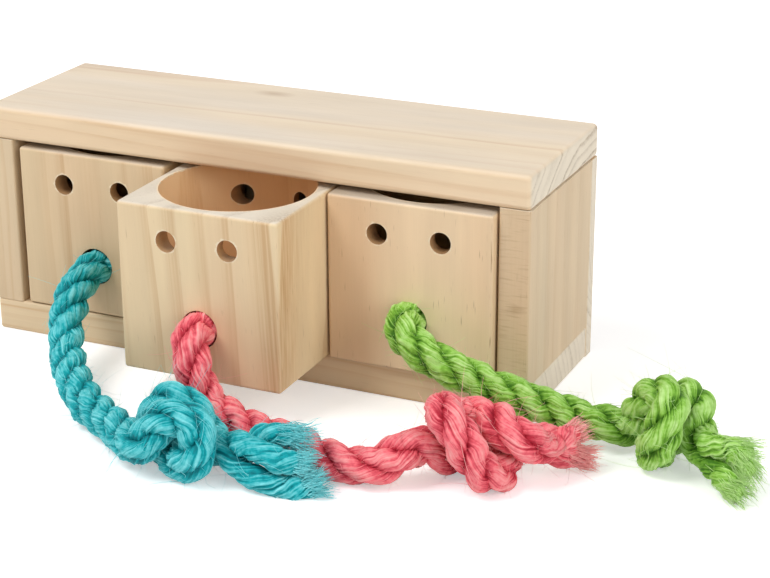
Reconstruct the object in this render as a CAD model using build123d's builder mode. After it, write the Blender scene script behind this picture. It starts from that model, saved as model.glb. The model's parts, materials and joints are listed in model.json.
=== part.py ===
"""Treat chest for small pets: a pine carcass that holds three loose drawer blocks.

Each block is bored out as a treat cup and is pulled by a knotted sisal rope.
Millimetres, +Z up, +Y to the back, origin at the middle of the chest's base.
"""

import os
from math import radians, tan

from build123d import *

os.makedirs("parts", exist_ok=True)

# Drawer blocks
drawer_width = 60.0
drawer_depth = 60.0
drawer_height = 60.0
drawer_edge_radius = 1.2
cup_wall = 3.0
cup_floor = 10.0
scent_hole_diameter = 7.5
scent_hole_spacing = 23.0
scent_hole_drop = 12.0
rope_hole_height = 18.5

# Room that the blocks have in the carcass
left_end_gap = 2.6
left_inner_gap = 3.9
right_inner_gap = 0.7
right_end_gap = 0.8
headroom = 2.0
running_gap = 0.25
closed_gap = 1.0

# How far each block stands out of the carcass at rest
left_pull = 0.0
middle_pull = 38.0
right_pull = 3.0

# Carcass boards
top_board_thickness = 12.0
bottom_board_thickness = 12.0
side_panel_thickness = 11.0
back_panel_thickness = 6.0
top_board_edge_radius = 1.8
bottom_board_edge_radius = 1.0
panel_edge_radius = 0.8

# Hidden dowels between the side panels and the boards
dowel_diameter = 6.0
dowel_length = 24.0
dowel_in_board = 7.0
dowel_chamfer = 0.6
dowel_glue_gap = 0.1
dowel_end_gap = 1.0
dowel_depth_shares = (0.2, 0.62)

# Brads that hold the back panel
brad_diameter = 1.4
brad_length = 20.0
brad_head_diameter = 2.8
brad_head_thickness = 0.8
brad_gap = 0.05
brad_height_shares = (0.34, 0.66)
brad_width_shares = (-0.32, 0.0, 0.32)

# Ropes
rope_diameter = 12.0
rope_hole_clearance = 1.5
rope_sag = 0.5
rope_exit_run = 4.0
floor_gap = 0.3
knot_ring_share = 0.875
knot_heart_share = 0.8
knot_tilt = 24.0
stopper_ring_share = 0.625
stopper_heart_share = 0.6
stopper_tilt = 18.0
stopper_standoff_share = 0.875
stopper_end = 9.0
tail_core_share = 1.2
tail_end_diameter = 17.0
tail_end_radius = 3.0
bend_share = 0.45

# Sizes that follow from the ones above
rope_radius = rope_diameter / 2
rope_hole_diameter = rope_diameter + rope_hole_clearance
cup_radius = min(drawer_width, drawer_depth) / 2 - cup_wall
opening_width = 3 * drawer_width + left_end_gap + left_inner_gap + right_inner_gap + right_end_gap
opening_height = running_gap + drawer_height + headroom
opening_depth = drawer_depth + closed_gap
carcass_width = opening_width + 2 * side_panel_thickness
carcass_depth = opening_depth + back_panel_thickness
top_board_level = bottom_board_thickness + opening_height
front_y = -carcass_depth / 2
back_y = carcass_depth / 2
panel_front_y = back_y - back_panel_thickness
shelf_middle_y = (front_y + panel_front_y) / 2
side_middle_x = opening_width / 2 + side_panel_thickness / 2
drawer_level = bottom_board_thickness + running_gap
cup_bottom_level = drawer_level + cup_floor
rope_level = drawer_level + rope_hole_height - rope_sag

left_x = -opening_width / 2 + left_end_gap + drawer_width / 2
middle_x = left_x + drawer_width + left_inner_gap
right_x = middle_x + drawer_width + right_inner_gap


def save(part, label):
    """Label a finished piece and write it to its own file."""
    part.label = label
    export_step(part, f"parts/{label}.step")


# Dowel places, in plan, at the ends of both side panels
dowel_places = [
    (side * side_middle_x, front_y + share * opening_depth)
    for side in (-1, 1)
    for share in dowel_depth_shares
]
dowel_hole_radius = dowel_diameter / 2 + dowel_glue_gap
board_hole_depth = dowel_in_board + dowel_end_gap
panel_hole_depth = dowel_length - dowel_in_board + dowel_end_gap

# Brad places on the back panel, as x and height: two up each side panel, three along the bottom board
side_brads = [
    (side * side_middle_x, bottom_board_thickness + share * opening_height)
    for side in (-1, 1)
    for share in brad_height_shares
]
bottom_brads = [(share * opening_width, bottom_board_thickness / 2) for share in brad_width_shares]
brad_places = side_brads + bottom_brads
brad_hole_radius = brad_diameter / 2 + brad_gap
brad_grip = brad_length - back_panel_thickness + brad_gap
back_plane = Plane((0, back_y, 0), x_dir=(1, 0, 0), z_dir=(0, -1, 0))
panel_plane = Plane((0, panel_front_y, 0), x_dir=(1, 0, 0), z_dir=(0, -1, 0))

# Top board: covers the whole chest, rounded all along its edges, with blind dowel holes below
with BuildPart() as top_board:
    with BuildSketch(Plane.XY.offset(top_board_level)):
        Rectangle(carcass_width, carcass_depth)
    extrude(amount=top_board_thickness)
    fillet(top_board.edges(), radius=top_board_edge_radius)
    with BuildSketch(Plane.XY.offset(top_board_level)):
        with Locations(*dowel_places):
            Circle(dowel_hole_radius)
    extrude(amount=board_hole_depth, mode=Mode.SUBTRACT)
save(top_board.part, "top_board")

# Bottom board: runs from end to end in front of the back panel, under the side panels
with BuildPart() as bottom_board:
    with BuildSketch():
        with Locations((0, shelf_middle_y)):
            Rectangle(carcass_width, opening_depth)
    extrude(amount=bottom_board_thickness)
    fillet(bottom_board.edges(), radius=bottom_board_edge_radius)
    with BuildSketch(Plane.XY.offset(bottom_board_thickness)):
        with Locations(*dowel_places):
            Circle(dowel_hole_radius)
    extrude(amount=-board_hole_depth, mode=Mode.SUBTRACT)
    with BuildSketch(panel_plane):
        with Locations(*bottom_brads):
            Circle(brad_hole_radius)
    extrude(amount=brad_grip, mode=Mode.SUBTRACT)
save(bottom_board.part, "bottom_board")

# Side panels: stand between the two boards, with dowel holes in both ends and brad holes behind
for side, side_name in ((-1, "left"), (1, "right")):
    own_dowels = [place for place in dowel_places if place[0] * side > 0]
    own_brads = [place for place in side_brads if place[0] * side > 0]
    with BuildPart() as side_panel:
        with BuildSketch(Plane.XY.offset(bottom_board_thickness)):
            with Locations((side * side_middle_x, shelf_middle_y)):
                Rectangle(side_panel_thickness, opening_depth)
        extrude(amount=opening_height)
        fillet(side_panel.edges().filter_by(Axis.Z), radius=panel_edge_radius)
        with BuildSketch(Plane.XY.offset(bottom_board_thickness)):
            with Locations(*own_dowels):
                Circle(dowel_hole_radius)
        extrude(amount=panel_hole_depth, mode=Mode.SUBTRACT)
        with BuildSketch(Plane.XY.offset(top_board_level)):
            with Locations(*own_dowels):
                Circle(dowel_hole_radius)
        extrude(amount=-panel_hole_depth, mode=Mode.SUBTRACT)
        with BuildSketch(panel_plane):
            with Locations(*own_brads):
                Circle(brad_hole_radius)
        extrude(amount=brad_grip, mode=Mode.SUBTRACT)
    save(side_panel.part, f"{side_name}_side_panel")

# Back panel: closes the chest behind, from the floor up to the top board
with BuildPart() as back_panel:
    with BuildSketch():
        with Locations((0, back_y - back_panel_thickness / 2)):
            Rectangle(carcass_width, back_panel_thickness)
    extrude(amount=top_board_level)
    fillet(back_panel.edges().filter_by(Axis.Z), radius=panel_edge_radius)
    with BuildSketch(back_plane):
        with Locations(*brad_places):
            Circle(brad_hole_radius)
    extrude(amount=back_panel_thickness, mode=Mode.SUBTRACT)
    with BuildSketch(back_plane):
        with Locations(*brad_places):
            Circle(brad_head_diameter / 2 + brad_gap)
    extrude(amount=brad_head_thickness + brad_gap, mode=Mode.SUBTRACT)
save(back_panel.part, "back_panel")

# Dowels: one group in the top joints and one in the bottom joints, with chamfered ends
for group, first_level in (
    ("top_dowels", top_board_level + dowel_in_board - dowel_length),
    ("bottom_dowels", bottom_board_thickness - dowel_in_board),
):
    with BuildPart() as dowels:
        with BuildSketch(Plane.XY.offset(first_level)):
            with Locations(*dowel_places):
                Circle(dowel_diameter / 2)
        extrude(amount=dowel_length)
        chamfer(dowels.edges().filter_by(GeomType.CIRCLE), length=dowel_chamfer)
    save(dowels.part, group)

# Brads: flat heads flush with the back panel, shanks into the side panels and the bottom board
with BuildPart() as back_panel_brads:
    with BuildSketch(back_plane):
        with Locations(*brad_places):
            Circle(brad_head_diameter / 2)
    extrude(amount=brad_head_thickness)
    with BuildSketch(back_plane.offset(brad_head_thickness)):
        with Locations(*brad_places):
            Circle(brad_diameter / 2)
    extrude(amount=brad_length - brad_head_thickness)
save(back_panel_brads.part, "back_panel_brads")


def drawer_block(centre_x, centre_y):
    """A cube with a deep cup bored from above, two scent holes right through, a rope hole in front."""
    front_middle = (centre_x, centre_y - drawer_depth / 2, drawer_level)
    front = Plane(front_middle, x_dir=(1, 0, 0), z_dir=(0, -1, 0))
    with BuildPart() as block:
        with BuildSketch(Plane.XY.offset(drawer_level)):
            with Locations((centre_x, centre_y)):
                Rectangle(drawer_width, drawer_depth)
        extrude(amount=drawer_height)
        fillet(block.edges(), radius=drawer_edge_radius)
        with BuildSketch(Plane.XY.offset(cup_bottom_level)):
            with Locations((centre_x, centre_y)):
                Circle(cup_radius)
        extrude(amount=drawer_height - cup_floor, mode=Mode.SUBTRACT)
        with BuildSketch(front):
            with Locations((0, drawer_height - scent_hole_drop)):
                with GridLocations(scent_hole_spacing, 0, 2, 1):
                    Circle(scent_hole_diameter / 2)
        extrude(amount=-drawer_depth, mode=Mode.SUBTRACT)
        with BuildSketch(front):
            with Locations((0, rope_hole_height)):
                Circle(rope_hole_diameter / 2)
        extrude(amount=-drawer_depth / 2, mode=Mode.SUBTRACT)
    return block.part


def rope_tube(name, points):
    """The rope between its two knots: straight runs joined by the largest arcs that they allow."""
    points = [Vector(*point) for point in points]
    runs = [after - before for before, after in zip(points, points[1:])]
    turns = [run.get_angle(after) for run, after in zip(runs, runs[1:])]
    radii = [
        bend_share * min(run.length, after.length) / tan(radians(turn / 2))
        for run, after, turn in zip(runs, runs[1:], turns)
    ]
    with BuildPart() as tube:
        with BuildLine() as path:
            FilletPolyline(*points, radius=radii)
        with BuildSketch(Plane(points[0], z_dir=runs[0])):
            Circle(rope_radius)
        sweep()
    length = sum(edge.length for edge in path.edges())
    swept = tube.part.volume / (Circle(rope_radius, mode=Mode.PRIVATE).area * length)
    print(f"{name}: {length:.1f} mm, volume over section times length {swept:.4f},",
          "radii", " ".join(f"{radius:.1f}" for radius in radii))
    return tube.part


def knot_solid(cores, centre, axis, ring_radius, heart_radius, tilt):
    """A knot: straight lengths of rope through a round heart, and two turns crossed over it."""
    with BuildPart() as knot:
        for start, direction, length in cores:
            with BuildSketch(Plane(start, z_dir=direction)):
                Circle(rope_radius)
            extrude(amount=length)
        with Locations(centre):
            Sphere(heart_radius)
        for angle in (-tilt, tilt):
            ring_plane = Plane(centre, z_dir=axis.rotate(Axis.Z, angle))
            with Locations(ring_plane.location):
                Torus(ring_radius, rope_radius)
    return knot.part


def outer_knot(entry, entry_run, tail_start, tail_run, centre):
    """The big overhand knot on the floor, with a face for the rope and one for its tail."""
    reach = (centre - entry).dot(entry_run.normalized())
    cores = [(entry, entry_run, reach), (tail_start, -tail_run, tail_core_share * rope_diameter)]
    axis = Vector(tail_start.X - entry.X, tail_start.Y - entry.Y, 0)
    ring_radius = knot_ring_share * rope_diameter
    heart_radius = knot_heart_share * rope_diameter
    return knot_solid(cores, centre, axis, ring_radius, heart_radius, knot_tilt)


def rope_tail(start, end):
    """The frayed end past the knot, as a flared stub."""
    along = end - start
    with BuildPart() as tail:
        with BuildSketch(Plane(start, z_dir=along)):
            Circle(rope_radius)
        with BuildSketch(Plane(end, z_dir=along)):
            Circle(tail_end_diameter / 2)
        loft()
        fillet(tail.edges().filter_by(GeomType.CIRCLE).sort_by(Edge.length)[-1], radius=tail_end_radius)
    return tail.part


def stopper_knot(start):
    """The knot in the cup that keeps the rope from pulling out of the block."""
    axis = Vector(0, 1, 0)
    ring_radius = stopper_ring_share * rope_diameter
    centre = Vector(
        start.X,
        start.Y + stopper_standoff_share * rope_diameter,
        cup_bottom_level + floor_gap + ring_radius + rope_radius,
    )
    cores = [(start, axis, cup_radius - stopper_end)]
    heart_radius = stopper_heart_share * rope_diameter
    return knot_solid(cores, centre, axis, ring_radius, heart_radius, stopper_tilt)


# Routes of the ropes past their holes, chosen by hand: x and y from the foot of the drawer's front, z from
# the floor. The last point of each meets its outer knot.
left_route = [
    (-1.2, -10.1, 27.0), (-2.2, -14.3, 21.4), (-2.0, -17.9, 14.6), (0.9, -23.5, 8.9), (7.9, -33.0, 6.4),
    (18.9, -47.0, 6.3), (34.4, -61.0, 6.3), (51.4, -71.0, 7.6), (64.9, -78.0, 10.5),
]
middle_route = [
    (1.9, -9.7, 26.7), (4.7, -12.5, 21.0), (7.9, -13.1, 14.6), (13.1, -13.3, 8.9), (21.0, -14.1, 6.4),
    (33.0, -17.0, 6.3), (46.5, -21.2, 6.3), (59.5, -26.1, 6.3), (70.5, -27.5, 6.6), (79.5, -25.0, 8.8),
    (87.3, -21.3, 12.8),
]
right_route = [
    (2.7, -9.9, 29.6), (7.8, -13.5, 28.0), (15.8, -15.0, 25.3), (26.8, -13.5, 20.8), (37.8, -11.0, 16.6),
    (48.8, -8.5, 13.0), (60.8, -6.8, 10.2), (71.8, -6.7, 9.3), (82.1, -9.7, 11.2),
]

# Where each outer knot sits in plan, and where the tail past it starts and ends, from the same foot
left_knot_place = (82.4, -86.0)
left_tail = ((97.4, -82.5, 12.5), (129.9, -77.0, 14.0))
middle_knot_place = (104.1, -14.9)
middle_tail = ((116.5, -4.5, 12.5), (136.5, 12.0, 10.0))
right_knot_place = (96.3, -14.5)
right_tail = ((107.8, -18.0, 13.0), (128.8, -28.0, 10.0))

ropes = {
    "left": (left_x, left_pull, left_route, left_knot_place, left_tail),
    "middle": (middle_x, middle_pull, middle_route, middle_knot_place, middle_tail),
    "right": (right_x, right_pull, right_route, right_knot_place, right_tail),
}
knot_level = floor_gap + knot_ring_share * rope_diameter + rope_radius

# Each drawer block with its rope: stopper knot in the cup, rope out through the front, outer knot, tail
for name, (centre_x, pull, route, knot_place, tail) in ropes.items():
    centre_y = front_y - pull + drawer_depth / 2
    foot = Vector(centre_x, front_y - pull, 0)
    rope_start = Vector(centre_x, centre_y - cup_radius, rope_level)
    rope_exit = foot + Vector(0, -rope_exit_run, rope_level)
    points = [rope_start, rope_exit] + [foot + Vector(*point) for point in route]
    knot_centre = foot + Vector(*knot_place, knot_level)
    tail_start, tail_end = [foot + Vector(*point) for point in tail]
    last_run = points[-1] - points[-2]
    tail_run = tail_end - tail_start
    save(drawer_block(centre_x, centre_y), f"{name}_drawer")
    save(stopper_knot(rope_start), f"{name}_stopper_knot")
    save(rope_tube(f"{name}_rope", points), f"{name}_rope")
    save(outer_knot(points[-1], last_run, tail_start, tail_run, knot_centre), f"{name}_rope_knot")
    save(rope_tail(tail_start, tail_end), f"{name}_rope_tail")
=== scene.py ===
"""Looks of a small pine treat chest: three drawer blocks, each pulled by a knotted rope of dyed sisal."""

import json
from math import cos, pi, radians, sin

import bpy
import numpy as np
from mathutils import Euler, Matrix, Vector


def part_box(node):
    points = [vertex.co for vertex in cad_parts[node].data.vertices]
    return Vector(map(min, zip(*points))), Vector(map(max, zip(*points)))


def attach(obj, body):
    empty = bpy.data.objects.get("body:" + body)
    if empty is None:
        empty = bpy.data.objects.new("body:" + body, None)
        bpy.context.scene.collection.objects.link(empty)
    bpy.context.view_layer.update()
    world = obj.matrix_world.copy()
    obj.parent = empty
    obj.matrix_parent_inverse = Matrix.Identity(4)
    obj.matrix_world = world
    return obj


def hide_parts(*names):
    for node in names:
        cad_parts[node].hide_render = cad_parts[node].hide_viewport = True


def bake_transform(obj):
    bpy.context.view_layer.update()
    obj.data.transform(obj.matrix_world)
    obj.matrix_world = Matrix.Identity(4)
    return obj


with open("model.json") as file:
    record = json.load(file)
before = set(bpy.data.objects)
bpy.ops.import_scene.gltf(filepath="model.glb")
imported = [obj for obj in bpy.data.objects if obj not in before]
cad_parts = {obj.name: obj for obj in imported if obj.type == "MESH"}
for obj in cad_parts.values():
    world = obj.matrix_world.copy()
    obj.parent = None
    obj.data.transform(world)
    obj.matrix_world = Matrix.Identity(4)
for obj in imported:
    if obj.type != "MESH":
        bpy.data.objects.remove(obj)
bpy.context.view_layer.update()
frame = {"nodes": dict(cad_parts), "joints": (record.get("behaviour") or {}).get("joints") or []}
bpy.ops.object.select_all(action="DESELECT")

# Carcass boards: planed pine, sanded smooth, glued and dowelled, and left without varnish.
# The long boards and the back panel have their grain along the chest, the side panels have it upright.
# Every board was cut from another place in the log, so each has its own pith to grow its rings about.
millimetre = 0.001


def srgb(code):
    """The linear colour of an sRGB hex value such as "#D9BE95"."""
    parts = [int(code[place:place + 2], 16) / 255 for place in (1, 3, 5)]
    return (*[part / 12.92 if part <= 0.04045 else ((part + 0.055) / 1.055) ** 2.4 for part in parts], 1.0)


def node(owner, kind, inputs, **settings):
    """Add a shader node with its settings to a material or a world, and set or link its inputs.
    Inputs go by number where names repeat: on Map Range 0 is the value, 1 and 2 the range that it comes in
    and 3 and 4 the range that it leaves in, and on a colour Mix 0 is the share, 6 and 7 the colours."""
    made = owner.node_tree.nodes.new(kind)
    for name, value in settings.items():
        setattr(made, name, value)
    for socket, value in inputs.items():
        if isinstance(value, bpy.types.NodeSocket):
            owner.node_tree.links.new(value, made.inputs[socket])
        else:
            made.inputs[socket].default_value = value
    return made


def new_material(name):
    """An empty material with its Principled shader."""
    material = bpy.data.materials.new(name)
    material.use_nodes = True
    return material, material.node_tree.nodes["Principled BSDF"]


def along_grain(material, log, across, along, detail, roughness=0.5, **settings):
    """Noise drawn out along the grain, with patches of so many millimetres across the log and along it."""
    drawn_out = node(material, "ShaderNodeVectorMath", {
        0: log.outputs[0], 1: (1 / across, 1 / across, 1 / along)}, operation="MULTIPLY")
    return node(material, "ShaderNodeTexNoise", {
        "Vector": drawn_out.outputs[0], "Scale": 1.0, "Detail": detail, "Roughness": roughness}, **settings)


def pine(name, grain, pith, ring_width, early, late, figure, streaks,
         upward_sheen=0.0, end_grain_and_shade="#DFD2BD", painted_shade_span=None):
    """Sanded bare pine, a solid pattern that each cut face shows in its own way: pale early wood that darkens
    in threads to the crisp edge of every ring, long fibres, short resin streaks, and duller end grain.
    Lengths in the pattern are in millimetres, with Z along the grain."""
    material, shader = new_material(name)
    turn = Euler([radians(angle) for angle in grain])
    coords = node(material, "ShaderNodeTexCoord", {}, name="coords")
    log = node(material, "ShaderNodeMapping", {
        "Vector": coords.outputs["Object"], "Location": pith, "Rotation": turn, "Scale": (millimetre,) * 3,
    }, vector_type="TEXTURE")
    # Rings waver over some 40 mm across the log and 260 mm along it, by up to 5 mm
    waver = along_grain(material, log, 40, 260, 3.5)
    shift = node(material, "ShaderNodeVectorMath", {
        0: waver.outputs["Color"], 1: (0.5, 0.5, 0.5)}, operation="SUBTRACT")
    bent = node(material, "ShaderNodeVectorMath", {
        0: shift.outputs[0], 1: (10.0, 10.0, 0.0), 2: log.outputs[0]}, operation="MULTIPLY_ADD")
    across = node(material, "ShaderNodeVectorMath", {
        0: bent.outputs[0], 1: (1.0, 1.0, 0.0)}, operation="MULTIPLY")
    radius = node(material, "ShaderNodeVectorMath", {0: across.outputs[0]}, operation="LENGTH")
    years = node(material, "ShaderNodeMath", {0: radius.outputs["Value"], 1: ring_width}, operation="DIVIDE")
    uneven = node(material, "ShaderNodeTexNoise", {
        "W": years.outputs[0], "Scale": 0.4, "Detail": 1.0}, noise_dimensions="1D")
    phase = node(material, "ShaderNodeMath", {
        0: uneven.outputs[0], 1: 1.8, 2: years.outputs[0]}, operation="MULTIPLY_ADD")
    # A year's wood darkens slowly, and its ring ends over 0.6 mm
    season = node(material, "ShaderNodeMath", {0: phase.outputs[0]}, operation="FRACT")
    rise = node(material, "ShaderNodeMapRange", {
        0: season.outputs[0], 1: 0.35, 2: 0.9}, interpolation_type="SMOOTHSTEP")
    fall = node(material, "ShaderNodeMapRange", {
        0: season.outputs[0], 1: 1.0, 2: 1 - 0.6 / ring_width}, interpolation_type="SMOOTHSTEP")
    ring = node(material, "ShaderNodeMath", {0: rise.outputs[0], 1: fall.outputs[0]}, operation="MULTIPLY")
    # Late wood comes in threads, 0.9 mm wide and some 70 mm long
    threads = along_grain(material, log, 0.9, 70, 2.0)
    thread_part = node(material, "ShaderNodeMapRange", {
        0: threads.outputs[0], 1: 0.35, 2: 0.65, 3: 0.5, 4: 1.3})
    threaded = node(material, "ShaderNodeMath", {
        0: ring.outputs[0], 1: thread_part.outputs[0]}, operation="MULTIPLY")
    # Some years grew a dark line of late wood and others hardly any
    year = node(material, "ShaderNodeMath", {0: phase.outputs[0]}, operation="FLOOR")
    lot = node(material, "ShaderNodeTexWhiteNoise", {"W": year.outputs[0]}, noise_dimensions="1D")
    depth = node(material, "ShaderNodeMapRange", {0: lot.outputs["Value"], 3: 0.2 * figure, 4: figure})
    late_wood = node(material, "ShaderNodeMath", {
        0: threaded.outputs[0], 1: depth.outputs[0]}, operation="MULTIPLY", use_clamp=True)
    # Fibres of 0.4 mm, drawn coarser than real ones so that they show, and resin streaks of 0.5 by 6 mm
    fibres = along_grain(material, log, 0.4, 18, 3.0, roughness=0.6)
    canals = along_grain(material, log, 0.5, 6, 0.0)
    resin = node(material, "ShaderNodeMapRange", {0: canals.outputs[0], 1: 0.74, 2: 0.86, 3: 0.0, 4: streaks})
    # The wood is a little redder in patches, and where a span is given it takes a painted shade that browns
    # it towards one side
    patches = along_grain(material, log, 22, 180, 1.0)
    warmth_and_shade = node(material, "ShaderNodeMapRange", {0: patches.outputs[0], 1: 0.35, 2: 0.7, 3: 0.0, 4: 0.5})
    if painted_shade_span:
        shaded_edge, lit_edge = painted_shade_span
        sideways = node(material, "ShaderNodeSeparateXYZ", {0: coords.outputs["Object"]})
        painted_side_shade = node(material, "ShaderNodeMapRange", {
            0: sideways.outputs["X"], 1: shaded_edge, 2: lit_edge, 3: 1.0, 4: 0.0,
        }, interpolation_type="SMOOTHSTEP")
        warmth_and_shade = node(material, "ShaderNodeMath", {
            0: painted_side_shade.outputs[0], 1: warmth_and_shade.outputs[0]}, operation="ADD", use_clamp=True)
    sap = node(material, "ShaderNodeMix", {
        0: warmth_and_shade.outputs[0], 6: srgb(early), 7: srgb("#D8B893")}, data_type="RGBA")
    long_face = node(material, "ShaderNodeMix", {
        0: late_wood.outputs[0], 6: sap.outputs[2], 7: srgb(late)}, data_type="RGBA")
    end_face = node(material, "ShaderNodeMix", {
        0: late_wood.outputs[0], 6: srgb(end_grain_and_shade), 7: srgb("#A08C72")}, data_type="RGBA")
    facing = node(material, "ShaderNodeVectorMath", {
        0: coords.outputs["Normal"], 1: turn.to_matrix() @ Vector((0, 0, 1))}, operation="DOT_PRODUCT")
    square = node(material, "ShaderNodeMath", {0: facing.outputs["Value"]}, operation="ABSOLUTE")
    end_grain = node(material, "ShaderNodeMapRange", {0: square.outputs[0], 1: 0.6, 2: 0.95})
    cut = node(material, "ShaderNodeMix", {
        0: end_grain.outputs[0], 6: long_face.outputs[2], 7: end_face.outputs[2]}, data_type="RGBA")
    # A pale painted sheen lies on the faces that look up, stronger in patches
    normal = node(material, "ShaderNodeSeparateXYZ", {0: coords.outputs["Normal"]})
    painted_sheen = node(material, "ShaderNodeMapRange", {0: normal.outputs["Z"], 1: 0.3, 2: 0.95, 3: 0.0, 4: upward_sheen})
    patchy_sheen = node(material, "ShaderNodeMapRange", {
        0: patches.outputs[0], 1: 0.3, 2: 0.7, 3: 0.4, 4: 1.5})
    sheen_share = node(material, "ShaderNodeMath", {
        0: painted_sheen.outputs[0], 1: patchy_sheen.outputs[0]}, operation="MULTIPLY", use_clamp=True)
    sheened = node(material, "ShaderNodeMix", {
        0: sheen_share.outputs[0], 6: cut.outputs[2], 7: srgb("#DAD2C6")}, data_type="RGBA")
    # The tone goes up and down in soft clouds of 9 by 50 mm and from fibre to fibre
    clouds = along_grain(material, log, 9, 50, 2.0, name="clouds")
    cloudy = node(material, "ShaderNodeMath", {
        0: clouds.outputs[0], 1: 0.22, 2: 0.86}, operation="MULTIPLY_ADD")
    shade = node(material, "ShaderNodeMath", {
        0: fibres.outputs[0], 1: 0.07, 2: cloudy.outputs[0]}, operation="MULTIPLY_ADD")
    grained = node(material, "ShaderNodeMix", {
        0: 1.0, 6: sheened.outputs[2], 7: shade.outputs[0]}, data_type="RGBA", blend_type="MULTIPLY")
    colour = node(material, "ShaderNodeMix", {
        0: resin.outputs[0], 6: grained.outputs[2], 7: srgb("#7C5530")}, data_type="RGBA")
    height = node(material, "ShaderNodeMath", {
        0: late_wood.outputs[0], 1: 0.5, 2: fibres.outputs[0]}, operation="MULTIPLY_ADD")
    gloss = node(material, "ShaderNodeMapRange", {0: fibres.outputs[0], 1: 0.3, 2: 0.7, 3: 0.62, 4: 0.48})
    relief = node(material, "ShaderNodeBump", {
        "Height": height.outputs[0], "Strength": 0.25, "Distance": 0.1 * millimetre}, name="relief")
    links = material.node_tree.links
    links.new(colour.outputs[2], shader.inputs["Base Color"])
    links.new(gloss.outputs[0], shader.inputs["Roughness"])
    links.new(relief.outputs[0], shader.inputs["Normal"])
    shader.inputs["IOR"].default_value = 1.5
    return material


def stain(material, share, colour):
    """Lay a colour over what a material shows so far, as strongly as the share node says at each place."""
    shown = material.node_tree.nodes["Principled BSDF"].inputs["Base Color"]
    stained = node(material, "ShaderNodeMix", {
        0: share.outputs[0], 6: shown.links[0].from_socket, 7: srgb(colour)}, data_type="RGBA")
    material.node_tree.links.new(stained.outputs[2], shown)


def dress(name, material):
    """Give a CAD piece its real material."""
    for slot in frame["nodes"][name].material_slots:
        slot.material = material


along_chest = (0, 90, 0)
upright = (0, 0, 0)
nearly_along_chest = (0, 90.5, 1.0)
top_pine = pine("pine_top_board", nearly_along_chest, pith=(0, 0.028, 0.016), ring_width=4.2,
                early="#E6D0B0", late="#CFAA80", figure=0.8, streaks=0.1, upward_sheen=0.5)
bottom_pine = pine("pine_bottom_board", along_chest, pith=(0, -0.07, -0.03), ring_width=3.6,
                   early="#DEC6A2", late="#C69E6E", figure=0.5, streaks=0.1)
left_pine = pine("pine_left_panel", upright, pith=(-0.17, 0.05, 0), ring_width=3.8,
                 early="#D0B998", late="#BE9A6C", figure=0.5, streaks=0.2)
right_pine = pine("pine_right_panel", upright, pith=(0.15, 0.06, 0), ring_width=9.0,
                  early="#CFB998", late="#BD9C72", figure=0.4, streaks=0.2)
back_pine = pine("pine_back_panel", along_chest, pith=(0, 0.09, 0.06), ring_width=3.0,
                 early="#DAC3A0", late="#C29C6E", figure=0.5, streaks=0.2)

# The top board has a small knot, which shows as a brown smudge drawn out along the grain
pin_knot_place = (-15.5 * millimetre, 21.8 * millimetre, 0.0)
pin_knot_length = 9.0 * millimetre
pin_knot_width = 4.0 * millimetre
from_knot = node(top_pine, "ShaderNodeVectorMath", {
    0: top_pine.node_tree.nodes["coords"].outputs["Object"], 1: pin_knot_place}, operation="SUBTRACT")
knot_spans = node(top_pine, "ShaderNodeVectorMath", {
    0: from_knot.outputs[0], 1: (1 / pin_knot_length, 1 / pin_knot_width, 0.0)}, operation="MULTIPLY")
knot_out = node(top_pine, "ShaderNodeVectorMath", {0: knot_spans.outputs[0]}, operation="LENGTH")
knot_edge = node(top_pine, "ShaderNodeMath", {
    0: top_pine.node_tree.nodes["clouds"].outputs[0], 1: 0.8, 2: knot_out.outputs["Value"],
}, operation="MULTIPLY_ADD")
smudge = node(top_pine, "ShaderNodeMapRange", {0: knot_edge.outputs[0], 1: 1.3, 2: 0.4, 3: 0.0, 4: 0.4})
stain(top_pine, smudge, "#9A7650")

# The front edge of the right panel keeps cross marks of the saw, and has a scuff a little below its middle
saw_mark_length = 9.0 * millimetre
saw_mark_gap = 0.8 * millimetre
scuff_place = (100.0 * millimetre, -33.5 * millimetre, 39.5 * millimetre)
scuff_width = 5.0 * millimetre
scuff_height = 3.0 * millimetre
right_coords = right_pine.node_tree.nodes["coords"]
marks_at = node(right_pine, "ShaderNodeVectorMath", {
    0: right_coords.outputs["Object"], 1: (1 / saw_mark_length, 0.0, 1 / saw_mark_gap)}, operation="MULTIPLY")
saw_marks = node(right_pine, "ShaderNodeTexNoise", {
    "Vector": marks_at.outputs[0], "Scale": 1.0, "Detail": 3.0})
from_scuff = node(right_pine, "ShaderNodeVectorMath", {
    0: right_coords.outputs["Object"], 1: scuff_place}, operation="SUBTRACT")
scuff_spans = node(right_pine, "ShaderNodeVectorMath", {
    0: from_scuff.outputs[0], 1: (1 / scuff_width, 0.0, 1 / scuff_height)}, operation="MULTIPLY")
scuff_out = node(right_pine, "ShaderNodeVectorMath", {0: scuff_spans.outputs[0]}, operation="LENGTH")
scuff = node(right_pine, "ShaderNodeMapRange", {
    0: scuff_out.outputs["Value"], 1: 1.0, 2: 0.0, 3: 0.0, 4: 0.3})
scored = node(right_pine, "ShaderNodeMath", {0: saw_marks.outputs[0], 1: scuff.outputs[0]}, operation="ADD")
dirt = node(right_pine, "ShaderNodeMapRange", {0: scored.outputs[0], 1: 0.52, 2: 0.95, 3: 0.0, 4: 0.6})
panel_normal = node(right_pine, "ShaderNodeSeparateXYZ", {0: right_coords.outputs["Normal"]})
front_edge = node(right_pine, "ShaderNodeMapRange", {0: panel_normal.outputs["Y"], 1: -0.8, 2: -0.95})
edge_dirt = node(right_pine, "ShaderNodeMath", {
    0: dirt.outputs[0], 1: front_edge.outputs[0]}, operation="MULTIPLY")
stain(right_pine, edge_dirt, "#8F6A43")

dress("top_board", top_pine)
dress("bottom_board", bottom_pine)
dress("left_side_panel", left_pine)
dress("right_side_panel", right_pine)
dress("back_panel", back_pine)

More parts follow.
